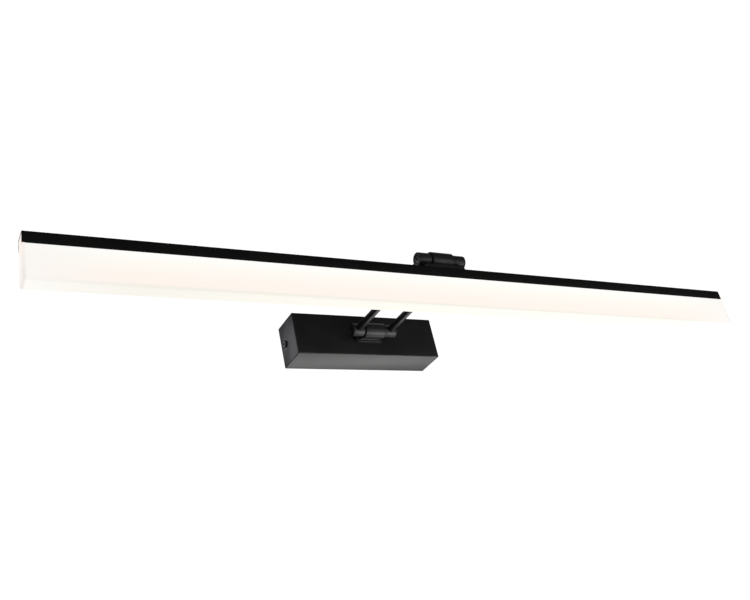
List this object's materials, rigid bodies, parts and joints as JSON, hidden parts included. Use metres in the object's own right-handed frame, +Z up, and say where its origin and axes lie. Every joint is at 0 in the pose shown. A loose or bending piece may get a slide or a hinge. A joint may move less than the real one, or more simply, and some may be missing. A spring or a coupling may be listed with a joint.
{
  "type": "picture light",
  "caption": "Wall-mounted picture light: a box on the wall carries a two-rod arm hinged at both ends, which holds a long slim bar with an opal diffuser.",
  "frame": {"origin": "middle of the wall plate's back face, which lies on the wall", "axes": "+X along the lamp bar and both hinge axes, +Y into the wall, +Z up"},
  "size_m": [0.7, 0.184, 0.0731],
  "materials": {
    "black_sheet": "satin black powder coat on sheet steel",
    "black_casting": "satin black powder coat on a zinc casting",
    "black_tube": "satin black powder coat on steel tube",
    "black_extrusion": "satin black powder coat on an aluminium extrusion",
    "black_screw": "black oxide steel",
    "zinc_steel": "bright zinc-plated steel",
    "brass": "plain machined brass",
    "black_rubber": "matt rubber",
    "dark_nylon": "plain nylon",
    "white_foam": "double-sided foam tape",
    "white_case": "moulded polycarbonate",
    "green_board": "solder-masked board",
    "dark_component": "moulded component cases",
    "clear_nylon": "milky nylon",
    "white_board": "white solder mask on an aluminium board",
    "led_phosphor": "yellow phosphor in silicone",
    "opal_acrylic": "opal acrylic, satin",
    "opal_cap": "opal moulded plastic",
    "supply_wire": "insulated wire",
    "white_wire": "insulated fine wire"
  },
  "bodies": {
    "wall_box": {"box_cover": "black_sheet", "cable_bush": "black_rubber", "cover_screws": "black_screw", "driver_board": "green_board", "driver_case": "white_case", "driver_components": "dark_component", "driver_lid": "white_case", "driver_pad": "white_foam", "ear_nuts": "zinc_steel", "earth_screw": "brass", "hinge_base_screws": "zinc_steel", "lamp_wires": "white_wire", "lower_friction_washers": "dark_nylon", "lower_hinge_base": "black_casting", "lower_hinge_stud": "zinc_steel", "lower_hinge_stud_nut": "zinc_steel", "lower_hinge_stud_washer": "zinc_steel", "supply_wires": "supply_wire", "terminal_block": "clear_nylon", "terminal_fixing_screw": "zinc_steel", "terminal_screws": "brass", "wall_plate": "zinc_steel"},
    "arm": {"lower_left_knuckle": "black_casting", "lower_right_knuckle": "black_casting", "upper_left_knuckle": "black_casting", "upper_right_knuckle": "black_casting", "lower_axle": "black_screw", "upper_axle": "black_screw", "left_rod": "black_tube", "right_rod": "black_tube", "left_rod_wire": "white_wire", "right_rod_wire": "white_wire"},
    "lamp": {"upper_hinge_base": "black_casting", "upper_hinge_stud": "zinc_steel", "upper_hinge_stud_washer": "zinc_steel", "upper_hinge_stud_nut": "zinc_steel", "upper_friction_washers": "dark_nylon", "top_channel": "black_extrusion", "led_board": "white_board", "led_chips": "led_phosphor", "diffuser": "opal_acrylic", "left_end_cap": "opal_cap", "right_end_cap": "opal_cap", "board_wires": "white_wire"}
  },
  "joints": [
    {"name": "arm_tilt", "type": "hinge", "parent": "wall_box", "child": "arm", "pos_m": [0, -0.0455, -0.001], "axis": [-1, 0, 0], "range_deg": [-75, 75]},
    {"name": "lamp_tilt", "type": "hinge", "parent": "arm", "child": "lamp", "pos_m": [0, -0.1765, -0.001], "axis": [-1, 0, 0], "range_deg": [-30, 150]}
  ]
}
